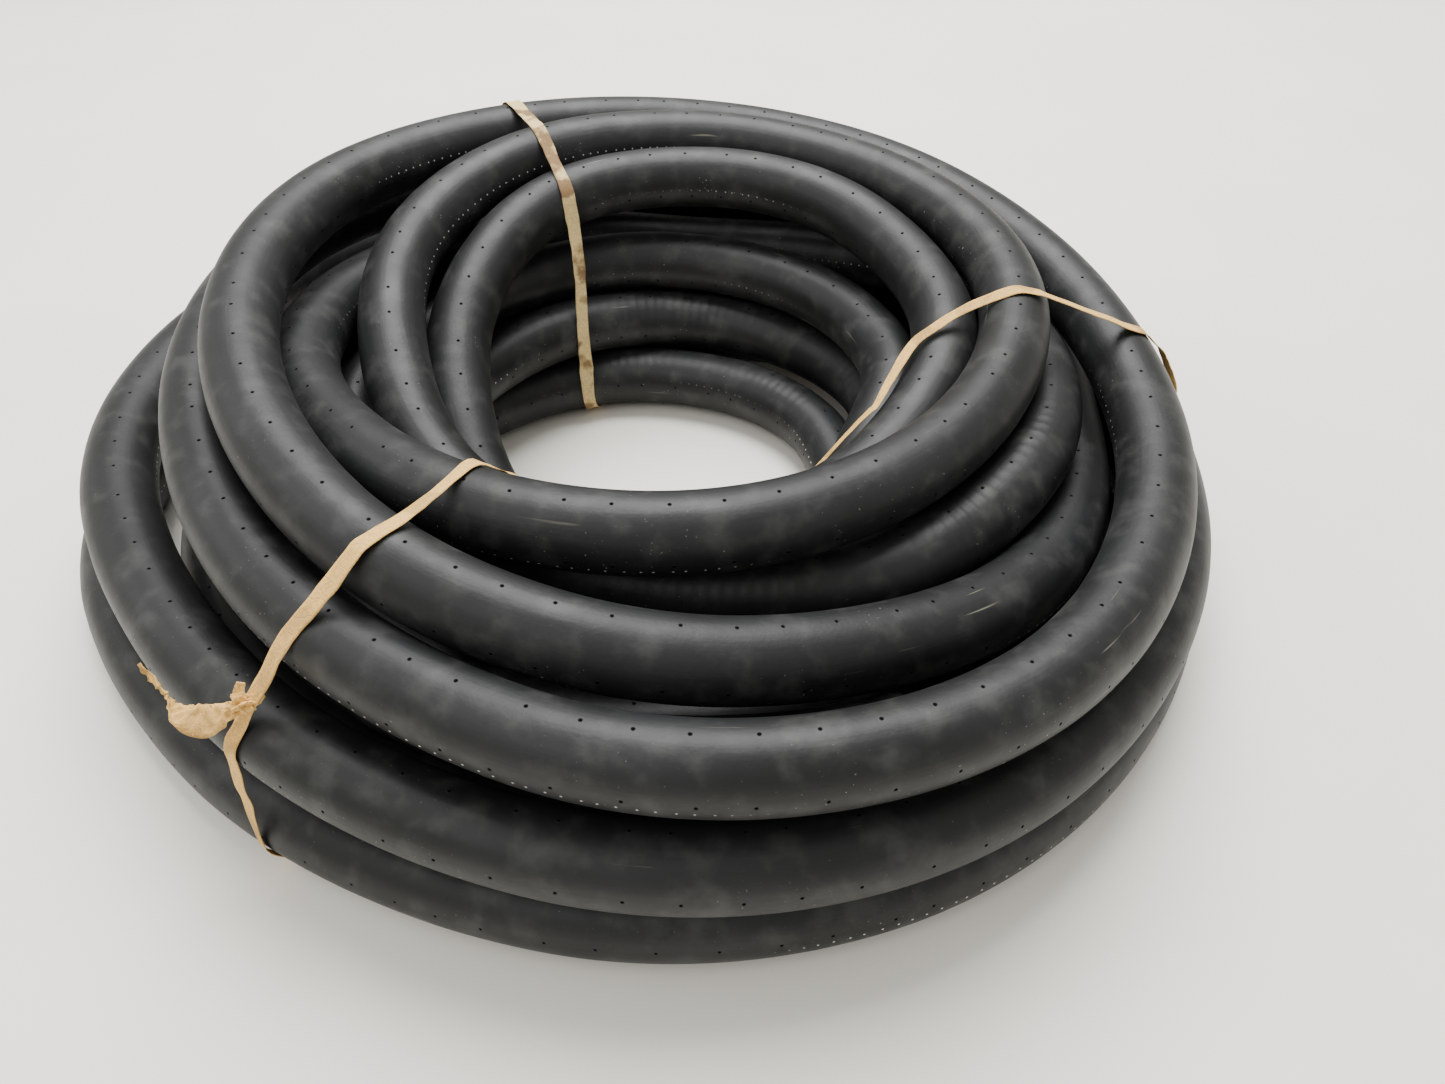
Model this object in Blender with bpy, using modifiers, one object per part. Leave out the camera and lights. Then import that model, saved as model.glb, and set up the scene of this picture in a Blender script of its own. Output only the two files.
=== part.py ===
"""A coil of refrigerant hose held by three strips of kraft paper.

The hose is one length of rubber hose wound into fourteen turns.  Its lay is
given as a chart: for every turn, the radius and the height of the hose's
centre line at a few bearings around the winding.  The turns are then settled
against one another so that no two of them share the same room.
"""
import math

import bpy
import numpy as np

HOSE_DIAMETER = 0.0286          # #12 refrigerant hose, 1-1/8 in outside
LAY_PITCH = 0.0292              # room that each turn takes up in the pile
COIL_LIFT = 0.0008              # the strips pass beneath the coil
STRIP_WIDTH = 0.0052
STRIP_THICKNESS = 0.0003
STRIP_CLEARANCE = 0.0004
KNOT_SIZE = 0.016
CHART_STEP = 10                 # degrees between settled stations
TUBE_STEP = 10                  # degrees between stations of the solid
SETTLE_ROUNDS = 320
SETTLE_GAP = 1.03

# For each turn: (bearing in degrees, radius, height), in pitches.
# The bearing runs clockwise seen from above: 0 front, 90 left, 180 rear.
TURNS = (
    ((-20, 5.95, 2.2), (0, 6.25, 2.1), (45, 6.4, 2.3), (90, 6.3, 2.4),
     (150, 6.2, 2.4), (180, 6.15, 2.3), (225, 6.05, 2.0), (250, 5.9, 1.65),
     (270, 5.6, 1.45), (300, 5.55, 1.75), (330, 5.72, 2.4)),
    ((0, 5.85, 3.05), (30, 5.85, 3.65), (60, 5.85, 4.1), (90, 6.05, 4.35),
     (120, 6.4, 4.25), (150, 6.6, 3.9), (180, 6.6, 3.5), (210, 6.4, 3.15),
     (240, 6.2, 2.85), (270, 6.25, 2.65), (300, 6.65, 2.6), (330, 7.05, 2.75)),
    ((0, 7.0, 2.95), (30, 6.65, 3.1), (60, 6.6, 3.3), (90, 6.85, 3.5),
     (120, 7.3, 3.3), (150, 7.3, 2.8), (180, 7.25, 2.4), (225, 7.1, 1.8),
     (240, 7.0, 1.6), (270, 6.8, 1.45), (300, 7.05, 1.5), (330, 7.3, 1.6)),
    ((0, 7.4, 1.8), (30, 7.4, 2.0), (60, 7.75, 2.15), (90, 8.6, 2.1),
     (120, 8.95, 1.8), (150, 8.6, 1.5), (180, 8.1, 1.2), (225, 7.5, 0.6),
     (270, 7.0, 0.5), (300, 7.1, 0.5), (330, 7.25, 0.5)),
    ((0, 7.3, 0.5), (30, 7.5, 0.5), (60, 8.25, 0.5), (90, 9.4, 0.5),
     (120, 9.3, 0.5), (150, 8.4, 0.5), (180, 7.4, 0.5), (225, 6.5, 0.5),
     (270, 5.85, 0.5), (310, 6.2, 0.8)),
    ((0, 6.45, 1.4), (90, 7.3, 1.4), (180, 6.5, 1.4), (225, 5.9, 1.45),
     (250, 5.1, 1.4), (270, 4.5, 1.4), (300, 4.85, 1.4)),
    ((0, 5.5, 1.4), (90, 6.1, 1.4), (135, 5.8, 1.2), (180, 5.4, 0.5),
     (225, 5.25, 0.5), (270, 5.15, 0.5)),
    ((0, 6.25, 0.5), (90, 6.6, 0.5), (135, 5.2, 0.5), (180, 4.4, 0.5),
     (225, 4.25, 0.5), (270, 4.15, 0.5), (300, 4.5, 0.5)),
    ((0, 5.25, 0.5), (45, 5.4, 0.5), (90, 5.4, 0.5), (120, 4.4, 0.5),
     (150, 3.55, 0.5), (180, 2.85, 0.5), (210, 2.5, 0.5), (240, 2.42, 0.5),
     (270, 2.5, 0.5)),
    ((0, 4.25, 0.5), (45, 4.3, 1.0), (90, 4.4, 1.5), (120, 4.05, 1.45),
     (150, 3.8, 1.35), (180, 3.62, 1.2), (210, 3.45, 1.1), (240, 3.3, 1.08),
     (270, 3.25, 1.05), (300, 3.9, 1.3), (330, 4.35, 1.4)),
    ((0, 4.6, 1.45), (45, 4.85, 1.9), (90, 5.1, 2.3), (120, 4.75, 2.2),
     (150, 4.3, 2.1), (180, 3.95, 2.05), (210, 3.65, 2.0), (240, 3.4, 2.0),
     (270, 3.35, 2.0), (300, 3.25, 1.65), (330, 3.2, 1.2)),
    ((0, 3.2, 0.9), (30, 3.05, 0.95), (60, 3.35, 1.4), (90, 3.6, 2.2),
     (120, 4.05, 3.0), (150, 4.5, 3.5), (180, 4.47, 3.57), (210, 4.3, 3.45),
     (240, 4.05, 3.15), (270, 3.75, 3.0), (300, 3.35, 2.65), (330, 3.2, 2.4)),
    ((0, 3.2, 2.35), (30, 3.45, 2.2), (60, 4.0, 2.4), (90, 4.5, 3.0),
     (120, 5.25, 3.5), (150, 5.57, 3.8), (180, 5.6, 3.7), (210, 5.35, 3.5),
     (240, 5.0, 3.3), (270, 4.6, 3.25), (300, 4.25, 3.2), (330, 4.12, 3.3)),
    ((0, 4.27, 3.48), (30, 4.53, 3.58), (60, 4.9, 3.55), (90, 5.5, 3.4),
     (120, 5.7, 3.0), (150, 5.5, 2.4), (180, 5.05, 1.95), (210, 4.95, 1.95),
     (240, 4.98, 2.25), (270, 5.1, 2.4), (300, 5.0, 2.55), (330, 4.65, 2.4)),
    ((0, 4.25, 2.5), (30, 4.3, 2.7), (45, 4.5, 2.7)),
)
# Stretches that lie on the outside of the pile: (turn, from, to).  They keep
# their place, and the turns buried under them give way.
OUTER = (
    (0, 300, 360), (1, 0, 360), (2, 0, 120), (2, 270, 360), (3, 0, 130),
    (3, 270, 360), (4, 0, 120), (8, 110, 260), (9, 110, 270), (10, 110, 270),
    (11, 50, 330), (12, 70, 360), (13, 0, 120), (13, 150, 215),
    (13, 280, 360), (14, 0, 30),
)
# Each strip stands in one upright plane: two points of its line, in pitches.
STRIPS = (
    ("paper_tie_rear", (-1.9, 2.95), (-3.84, 7.66)),
    ("paper_tie_right", (2.9, -0.6), (8.11, 0.52)),
    ("paper_tie_front", (-1.83, -1.98), (-5.34, -6.19)),
)
KNOT_STRIP = "paper_tie_front"


def interpolate(x, y, at):
    """Smooth curve through the points (x, y), read at the places in at."""
    span = np.diff(x)
    rise = np.diff(y) / span
    slope = np.zeros_like(y)
    slope[1:-1] = (rise[:-1] * span[1:] + rise[1:] * span[:-1]) / (span[:-1] + span[1:])
    slope[0] = rise[0]
    slope[-1] = rise[-1]
    i = np.clip(np.searchsorted(x, at, side="right") - 1, 0, len(x) - 2)
    t = (at - x[i]) / span[i]
    near = (2 * t ** 3 - 3 * t ** 2 + 1) * y[i] + (t ** 3 - 2 * t ** 2 + t) * span[i] * slope[i]
    far = (3 * t ** 2 - 2 * t ** 3) * y[i + 1] + (t ** 3 - t ** 2) * span[i] * slope[i + 1]
    return near + far


def chart_stations():
    """Bearings from the start of the hose to its end, and (radius, height)."""
    knots = np.array([(360.0 * n + b, r, z) for n, turn in enumerate(TURNS) for b, r, z in turn])
    bearing = np.arange(knots[0, 0], knots[-1, 0] + 1e-6, CHART_STEP)
    radius = interpolate(knots[:, 0], knots[:, 1], bearing)
    height = interpolate(knots[:, 0], knots[:, 2], bearing)
    return bearing, np.stack([radius, np.maximum(height, 0.5)], 1)


def smoothed(values, kernel):
    """Each column of values averaged with its neighbours by the kernel."""
    padded = np.pad(values, ((1, 1), (0, 0)), "edge")
    return sum(k * padded[i:i + len(values)] for i, k in enumerate(kernel))


def settle(bearing, target):
    """Push overlapping turns apart, column by column, until each has its room."""
    place = target.copy()
    hold = np.full(len(bearing), 0.01)
    for turn, start, stop in OUTER:
        hold[(bearing >= 360 * turn + start) & (bearing <= 360 * turn + stop)] = 0.06
    per_turn = 360 // CHART_STEP
    columns = [np.arange(c, len(bearing), per_turn) for c in range(per_turn)]
    step = math.radians(CHART_STEP)
    for number in range(SETTLE_ROUNDS):
        early = number < 0.6 * SETTLE_ROUNDS
        slope = smoothed(np.gradient(place, axis=0) / (np.maximum(place[:, :1], 1) * step),
                         (0.25, 0.5, 0.25))
        move = np.zeros_like(place)
        for column in columns:
            here = place[column]
            apart = here[:, None] - here[None]
            distance = np.sqrt((apart ** 2).sum(2))
            np.fill_diagonal(distance, 9.0)
            distance = np.maximum(distance, 1e-3)
            skew = slope[column][:, None] - slope[column][None]
            skew_2 = (skew ** 2).sum(2)
            along_2 = (apart * skew).sum(2) ** 2 / np.maximum(skew_2, 1e-12)
            crossing = np.minimum(skew_2 / (1 + skew_2), 0.5)
            true_gap = np.sqrt(np.maximum(distance ** 2 - along_2 * crossing, 1e-4))
            lack = np.clip(SETTLE_GAP - true_gap, 0, 0.5)
            freedom = 1 / hold[column]
            share = freedom[:, None] / (freedom[:, None] + freedom[None])
            move[column] += (apart / distance[..., None] * (lack * share)[..., None]).sum(1)
        length = np.linalg.norm(move, axis=1, keepdims=True)
        move *= np.minimum(1, 0.06 / np.maximum(length, 1e-9))
        place += 0.9 * smoothed(smoothed(move, (0.25, 0.5, 0.25)), (0.25, 0.5, 0.25))
        shift = place - target
        bend = np.zeros_like(shift)
        bend[1:-1] = 0.5 * (shift[:-2] + shift[2:]) - shift[1:-1]
        place += (0.4 if early else 0.08) * bend
        if early:
            place += (target - place) * hold[:, None]
        place[:, 1] = np.maximum(place[:, 1], 0.5)
    return place


def centre_line(bearing, place, step):
    """Centre line in metres about the winding's axis, one point each step."""
    fine = np.append(np.arange(bearing[0], bearing[-1] - 0.5 * step, step), bearing[-1])
    radius = interpolate(bearing, place[:, 0], fine)
    height = np.maximum(interpolate(bearing, place[:, 1], fine), 0.5)
    turn = np.radians(fine)
    line = np.stack([-radius * np.sin(turn), -radius * np.cos(turn), height], 1) * LAY_PITCH
    line[:, 2] += COIL_LIFT - 0.5 * (LAY_PITCH - HOSE_DIAMETER)
    return line


def middle(line):
    """Plan centre of the box around the hose, which becomes the origin."""
    return np.append(0.5 * (line.min(0) + line.max(0))[:2], 0.0)


def surface_points(line, sides=24, steps=12):
    """Points over the tube's surface: rings at the stations and between them."""
    chord = np.diff(line, axis=0)
    chord /= np.linalg.norm(chord, axis=1, keepdims=True)
    tangent = np.concatenate([chord[:1], chord[:-1] + chord[1:], chord[-1:]])
    tangent /= np.linalg.norm(tangent, axis=1, keepdims=True)
    side = np.cross(tangent, (0.0, 0.0, 1.0))
    side /= np.linalg.norm(side, axis=1, keepdims=True)
    up = np.cross(side, tangent)
    angle = np.arange(sides) * (2 * math.pi / sides)
    ring = side[:, None] * np.cos(angle)[None, :, None] + up[:, None] * np.sin(angle)[None, :, None]
    rings = line[:, None] + 0.5 * HOSE_DIAMETER * ring
    part = (np.arange(steps) / steps)[:, None, None, None]
    return (rings[None, :-1] * (1 - part) + rings[None, 1:] * part).reshape(-1, 3)


def convex_outline(points):
    """Corners of the smallest convex outline around points in a plane."""
    order = points[np.lexsort((points[:, 1], points[:, 0]))]
    chains = []
    for run in (order, order[::-1]):
        chain = []
        for point in run:
            while len(chain) > 1:
                a = chain[-1] - chain[-2]
                b = point - chain[-2]
                if a[0] * b[1] - a[1] * b[0] > 0:
                    break
                chain.pop()
            chain.append(point)
        chains += chain[:-1]
    return np.array(chains)


def grown(outline, distance):
    """The convex outline pushed outwards by a distance, with mitred corners."""
    edge = np.roll(outline, -1, 0) - outline
    edge /= np.linalg.norm(edge, axis=1, keepdims=True)
    normal = np.stack([edge[:, 1], -edge[:, 0]], 1)
    before = np.roll(normal, 1, 0)
    mitre = normal + before
    return outline + distance * mitre / (1 + (normal * before).sum(1))[:, None]


def thinned(outline, least):
    """The outline without corners closer than least to the one before."""
    kept = [outline[0]]
    for point in outline[1:]:
        if np.linalg.norm(point - kept[-1]) >= least:
            kept.append(point)
    return np.array(kept)


def material(name, colour, roughness):
    """Principled material with a plain colour."""
    made = bpy.data.materials.new(name)
    made.use_nodes = True
    shader = made.node_tree.nodes["Principled BSDF"]
    shader.inputs["Base Color"].default_value = (*colour, 1.0)
    shader.inputs["Roughness"].default_value = roughness
    return made


def add(name, data, collection, surface):
    """Link an object holding data and give it its material."""
    made = bpy.data.objects.new(name, data)
    collection.objects.link(made)
    data.materials.append(surface)
    return made


def poly_curve(name, points, cyclic):
    """3-D curve with one straight-sided spline through the points."""
    curve = bpy.data.curves.new(name, "CURVE")
    curve.dimensions = "3D"
    spline = curve.splines.new("POLY")
    spline.points.add(len(points) - 1)
    for place, point in zip(spline.points, points):
        place.co = (*point, 1.0)
    spline.use_cyclic_u = cyclic
    return curve


def add_hose(collection, line):
    """The hose itself, one solid tube with closed ends."""
    curve = poly_curve("hose", line, False)
    curve.bevel_depth = 0.5 * HOSE_DIAMETER
    curve.bevel_resolution = 2
    curve.use_fill_caps = True
    return add("hose", curve, collection, material("rubber", (0.05, 0.055, 0.06), 0.45))


def strip_frame(start, stop, centre):
    """Plan direction of a strip's plane and one point on it, in metres."""
    a = np.array(start) * LAY_PITCH - centre[:2]
    b = np.array(stop) * LAY_PITCH - centre[:2]
    along = (b - a) / np.linalg.norm(b - a)
    return a, along


def strip_outline(surface, origin, along):
    """Taut outline of a strip around the turns on its side of the coil."""
    across = np.array([-along[1], along[0]])
    plan = surface[:, :2] - origin
    reach = plan @ along
    near = (np.abs(plan @ across) < 0.5 * STRIP_WIDTH + 0.0015) & (reach > -2 * LAY_PITCH)
    outline = convex_outline(np.stack([reach[near], surface[near, 2]], 1))
    return thinned(grown(outline, STRIP_CLEARANCE), 0.002)


def add_strip(name, collection, outline, origin, along, surface):
    """A closed band of paper: the outline as a flat curve, made wide and thick."""
    curve = bpy.data.curves.new(name, "CURVE")
    curve.dimensions = "2D"
    curve.fill_mode = "NONE"
    curve.extrude = 0.5 * STRIP_WIDTH
    spline = curve.splines.new("POLY")
    spline.points.add(len(outline) - 1)
    for place, point in zip(spline.points, outline):
        place.co = (point[0], point[1], 0.0, 1.0)
    spline.use_cyclic_u = True
    band = add(name, curve, collection, surface)
    band.location = (origin[0], origin[1], 0.0)
    band.rotation_euler = (math.pi / 2, 0.0, math.atan2(along[1], along[0]))
    shell = band.modifiers.new("paper", "SOLIDIFY")
    shell.thickness = STRIP_THICKNESS
    shell.offset = 0.0
    shell.use_even_offset = True
    return band


def add_knot(collection, outline, origin, along, surface):
    """The tightened knot of the front strip, a lump against its outer side."""
    corner = int(np.argmax(outline[:, 0] + outline[:, 1]))
    corner += int(outline[corner - 1][1] < outline[corner][1])
    a = outline[corner - 1]
    b = outline[corner]
    normal = np.array([abs(b[1] - a[1]), abs(b[0] - a[0])]) / np.linalg.norm(b - a)
    reach, height = 0.5 * (a + b) + (0.5 * KNOT_SIZE + 0.0005) * normal
    centre = np.append(origin + along * reach, height)
    mesh = bpy.data.meshes.new("paper_tie_front_knot")
    rings, sides = 7, 12
    corners = []
    for ring in range(1, rings):
        polar = math.pi * ring / rings
        for side in range(sides):
            turn = 2 * math.pi * side / sides
            pinch = 1.0 + 0.12 * math.cos(3 * turn + 2 * polar)
            corners.append((0.40 * math.sin(polar) * math.cos(turn) * pinch,
                            0.44 * math.sin(polar) * math.sin(turn) * pinch,
                            0.44 * math.cos(polar)))
    corners += [(0.0, 0.0, 0.44), (0.0, 0.0, -0.44)]
    top, bottom = len(corners) - 2, len(corners) - 1
    faces = []
    for side in range(sides):
        after = (side + 1) % sides
        faces.append((top, side, after))
        for ring in range(rings - 2):
            low = (ring + 1) * sides
            high = ring * sides
            faces.append((high + side, low + side, low + after, high + after))
        last = (rings - 2) * sides
        faces.append((last + side, bottom, last + after))
    mesh.from_pydata([tuple(KNOT_SIZE * c for c in corner) for corner in corners], [], faces)
    mesh.update()
    knot = add("paper_tie_front_knot", mesh, collection, surface)
    knot.location = centre
    knot.rotation_euler = (0.0, 0.0, math.atan2(along[1], along[0]))
    return knot


def main():
    """Clear the scene and build the coil and its strips."""
    for old in list(bpy.data.objects):
        bpy.data.objects.remove(old, do_unlink=True)
    collection = bpy.data.collections.new("hose_coil")
    bpy.context.scene.collection.children.link(collection)
    bearing, target = chart_stations()
    place = settle(bearing, target)
    line = centre_line(bearing, place, TUBE_STEP)
    centre = middle(line)
    add_hose(collection, line - centre)
    surface = surface_points(line - centre)
    paper = [material("kraft_paper_%d" % i, (0.68, 0.52, 0.32), 0.85) for i in range(4)]
    for (name, start, stop), finish in zip(STRIPS, paper):
        origin, along = strip_frame(start, stop, centre)
        outline = strip_outline(surface, origin, along)
        add_strip(name, collection, outline, origin, along, finish)
        if name == KNOT_STRIP:
            add_knot(collection, outline, origin, along, paper[3])


main()
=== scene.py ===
"""Looks of a coil of refrigerant hose held by three strips of kraft paper."""
import logging
import math
from dataclasses import dataclass, field
from enum import Enum
from typing import Sequence

import bpy
import numpy as np
from mathutils import Matrix, Vector


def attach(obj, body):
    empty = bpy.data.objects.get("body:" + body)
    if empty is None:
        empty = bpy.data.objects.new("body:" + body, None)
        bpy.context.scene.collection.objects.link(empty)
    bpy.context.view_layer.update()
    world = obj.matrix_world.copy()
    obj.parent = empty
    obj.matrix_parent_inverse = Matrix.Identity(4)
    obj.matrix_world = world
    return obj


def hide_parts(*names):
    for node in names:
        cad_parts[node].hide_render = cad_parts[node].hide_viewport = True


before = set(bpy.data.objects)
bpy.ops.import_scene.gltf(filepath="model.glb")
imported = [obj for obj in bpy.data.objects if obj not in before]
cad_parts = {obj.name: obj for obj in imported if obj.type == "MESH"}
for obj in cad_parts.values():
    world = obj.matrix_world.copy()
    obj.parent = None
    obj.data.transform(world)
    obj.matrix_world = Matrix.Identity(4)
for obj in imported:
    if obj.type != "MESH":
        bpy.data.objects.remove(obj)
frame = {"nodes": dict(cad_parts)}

logging.basicConfig(level=logging.INFO, format="%(message)s")
LOG = logging.getLogger("hose_coil")
MM = 0.001

# For each turn: (bearing in degrees, radius, height), in pitches.
# The bearing runs clockwise seen from above: 0 front, 90 left, 180 rear.
TURNS = (
    ((-20, 5.95, 2.2), (0, 6.25, 2.1), (45, 6.4, 2.3), (90, 6.3, 2.4),
     (150, 6.2, 2.4), (180, 6.15, 2.3), (225, 6.05, 2.0), (250, 5.9, 1.65),
     (270, 5.6, 1.45), (300, 5.55, 1.75), (330, 5.72, 2.4)),
    ((0, 5.85, 3.05), (30, 5.85, 3.65), (60, 5.85, 4.1), (90, 6.05, 4.35),
     (120, 6.4, 4.25), (150, 6.6, 3.9), (180, 6.6, 3.5), (210, 6.4, 3.15),
     (240, 6.2, 2.85), (270, 6.25, 2.65), (300, 6.65, 2.6), (330, 7.05, 2.75)),
    ((0, 7.0, 2.95), (30, 6.65, 3.1), (60, 6.6, 3.3), (90, 6.85, 3.5),
     (120, 7.3, 3.3), (150, 7.3, 2.8), (180, 7.25, 2.4), (225, 7.1, 1.8),
     (240, 7.0, 1.6), (270, 6.8, 1.45), (300, 7.05, 1.5), (330, 7.3, 1.6)),
    ((0, 7.4, 1.8), (30, 7.4, 2.0), (60, 7.75, 2.15), (90, 8.6, 2.1),
     (120, 8.95, 1.8), (150, 8.6, 1.5), (180, 8.1, 1.2), (225, 7.5, 0.6),
     (270, 7.0, 0.5), (300, 7.1, 0.5), (330, 7.25, 0.5)),
    ((0, 7.3, 0.5), (30, 7.5, 0.5), (60, 8.25, 0.5), (90, 9.4, 0.5),
     (120, 9.3, 0.5), (150, 8.4, 0.5), (180, 7.4, 0.5), (225, 6.5, 0.5),
     (270, 5.85, 0.5), (310, 6.2, 0.8)),
    ((0, 6.45, 1.4), (90, 7.3, 1.4), (180, 6.5, 1.4), (225, 5.9, 1.45),
     (250, 5.1, 1.4), (270, 4.5, 1.4), (300, 4.85, 1.4)),
    ((0, 5.5, 1.4), (90, 6.1, 1.4), (135, 5.8, 1.2), (180, 5.4, 0.5),
     (225, 5.25, 0.5), (270, 5.15, 0.5)),
    ((0, 6.25, 0.5), (90, 6.6, 0.5), (135, 5.2, 0.5), (180, 4.4, 0.5),
     (225, 4.25, 0.5), (270, 4.15, 0.5), (300, 4.5, 0.5)),
    ((0, 5.25, 0.5), (45, 5.4, 0.5), (90, 5.4, 0.5), (120, 4.4, 0.5),
     (150, 3.55, 0.5), (180, 2.85, 0.5), (210, 2.5, 0.5), (240, 2.42, 0.5),
     (270, 2.5, 0.5)),
    ((0, 4.25, 0.5), (45, 4.3, 1.0), (90, 4.4, 1.5), (120, 4.05, 1.45),
     (150, 3.8, 1.35), (180, 3.62, 1.2), (210, 3.45, 1.1), (240, 3.3, 1.08),
     (270, 3.25, 1.05), (300, 3.9, 1.3), (330, 4.35, 1.4)),
    ((0, 4.6, 1.45), (45, 4.85, 1.9), (90, 5.1, 2.3), (120, 4.75, 2.2),
     (150, 4.3, 2.1), (180, 3.95, 2.05), (210, 3.65, 2.0), (240, 3.4, 2.0),
     (270, 3.35, 2.0), (300, 3.25, 1.65), (330, 3.2, 1.2)),
    ((0, 3.2, 0.9), (30, 3.05, 0.95), (60, 3.35, 1.4), (90, 3.6, 2.2),
     (120, 4.05, 3.0), (150, 4.5, 3.5), (180, 4.47, 3.57), (210, 4.3, 3.45),
     (240, 4.05, 3.15), (270, 3.75, 3.0), (300, 3.35, 2.65), (330, 3.2, 2.4)),
    ((0, 3.2, 2.35), (30, 3.45, 2.2), (60, 4.0, 2.4), (90, 4.5, 3.0),
     (120, 5.25, 3.5), (150, 5.57, 3.8), (180, 5.6, 3.7), (210, 5.35, 3.5),
     (240, 5.0, 3.3), (270, 4.6, 3.25), (300, 4.25, 3.2), (330, 4.12, 3.3)),
    ((0, 4.27, 3.48), (30, 4.53, 3.58), (60, 4.9, 3.55), (90, 5.5, 3.4),
     (120, 5.7, 3.0), (150, 5.5, 2.4), (180, 5.05, 1.95), (210, 4.95, 1.95),
     (240, 4.98, 2.25), (270, 5.1, 2.4), (300, 5.0, 2.55), (330, 4.65, 2.4)),
    ((0, 4.25, 2.5), (30, 4.3, 2.7), (45, 4.5, 2.7)),
)
# Stretches that lie on the outside of the pile: (turn, from, to).
OUTER = (
    (0, 300, 360), (1, 0, 360), (2, 0, 120), (2, 270, 360), (3, 0, 130),
    (3, 270, 360), (4, 0, 120), (8, 110, 260), (9, 110, 270), (10, 110, 270),
    (11, 50, 330), (12, 70, 360), (13, 0, 120), (13, 150, 215),
    (13, 280, 360), (14, 0, 30),
)


def linear(code: str, gain: float = 1.0) -> tuple[float, float, float, float]:
    """Turn an sRGB hex colour into linear RGBA.

    Args:
        code: Six hex digits, such as "C8B088".
        gain: Multiplies each linear channel.

    Returns:
        Linear red, green, blue and an alpha of 1.
    """
    parts = [int(code[i:i + 2], 16) / 255 for i in (0, 2, 4)]
    rgb = [p / 12.92 if p <= 0.04045 else ((p + 0.055) / 1.055) ** 2.4 for p in parts]
    return (rgb[0] * gain, rgb[1] * gain, rgb[2] * gain, 1.0)


def interpolate(x: np.ndarray, y: np.ndarray, at: np.ndarray) -> np.ndarray:
    """Read a smooth curve through points.

    Args:
        x: Rising places of the points.
        y: Values at those places.
        at: Places to read.

    Returns:
        The curve's values at those places.
    """
    span = np.diff(x)
    rise = np.diff(y) / span
    slope = np.zeros_like(y)
    slope[1:-1] = (rise[:-1] * span[1:] + rise[1:] * span[:-1]) / (span[:-1] + span[1:])
    slope[0] = rise[0]
    slope[-1] = rise[-1]
    i = np.clip(np.searchsorted(x, at, side="right") - 1, 0, len(x) - 2)
    t = (at - x[i]) / span[i]
    near = (2 * t ** 3 - 3 * t ** 2 + 1) * y[i] + (t ** 3 - 2 * t ** 2 + t) * span[i] * slope[i]
    far = (3 * t ** 2 - 2 * t ** 3) * y[i + 1] + (t ** 3 - t ** 2) * span[i] * slope[i + 1]
    return near + far


def smoothed(values: np.ndarray, kernel: Sequence[float]) -> np.ndarray:
    """Average each row of values with its neighbours.

    Args:
        values: Rows of numbers in order along a line.
        kernel: Three weights.

    Returns:
        The averaged rows.
    """
    padded = np.pad(values, ((1, 1), (0, 0)), "edge")
    return sum(k * padded[i:i + len(values)] for i, k in enumerate(kernel))


def wander(at: np.ndarray, period: float, seed: int) -> np.ndarray:
    """Give smooth noise between -1 and 1 along a line.

    Args:
        at: Places along the line.
        period: Typical distance between its hills, in the same unit.
        seed: Picks the pattern.

    Returns:
        One value for each place.
    """
    low = at.min()
    count = int((at.max() - low) / period) + 4
    hills = np.random.default_rng(seed).uniform(-1, 1, count)
    return interpolate(np.arange(count) * 1.0, hills, (at - low) / period + 1)


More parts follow.
